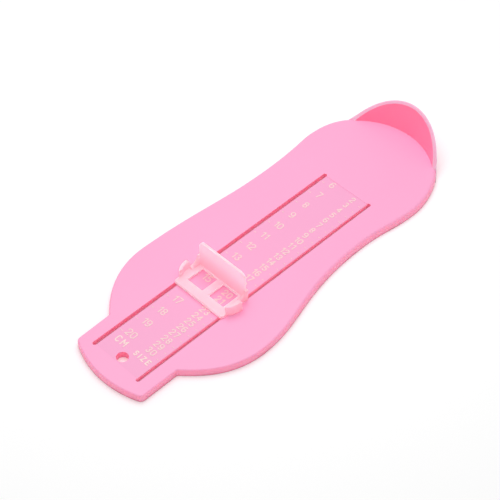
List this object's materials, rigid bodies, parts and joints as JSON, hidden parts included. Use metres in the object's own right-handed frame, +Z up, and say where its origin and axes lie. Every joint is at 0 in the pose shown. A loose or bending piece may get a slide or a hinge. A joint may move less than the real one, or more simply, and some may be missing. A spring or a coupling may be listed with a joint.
{
  "type": "foot measuring device",
  "caption": "Footprint-shaped board with a raised heel cup, a printed foot-length scale and a toe stop that slides along two slots to measure a child's foot.",
  "frame": {"origin": "the zero of the centimetre scale on the plane that the board lies on, midway between the two slots", "axes": "+X from the heel to the toes and the neck, +Y to the arch side, +Z up from the resting plane"},
  "size_m": [0.2278, 0.0882, 0.0223],
  "materials": {
    "board_plastic": "satin pink moulding",
    "slider_plastic": "pale pink, slightly translucent",
    "print_ink": "cream ink film"
  },
  "bodies": {
    "board": {"base_board": "board_plastic", "centimetre_numerals": "print_ink", "centimetre_ticks": "print_ink", "centimetre_label": "print_ink", "size_numerals": "print_ink", "size_ticks": "print_ink", "size_label": "print_ink"},
    "slider": {"toe_stop_slider": "slider_plastic", "left_keeper": "slider_plastic", "right_keeper": "slider_plastic"}
  },
  "joints": [
    {"name": "toe_stop_slide", "type": "slide", "parent": "board", "child": "slider", "axis": [1, 0, 0], "range_m": [-0.0916, 0.0558]}
  ]
}
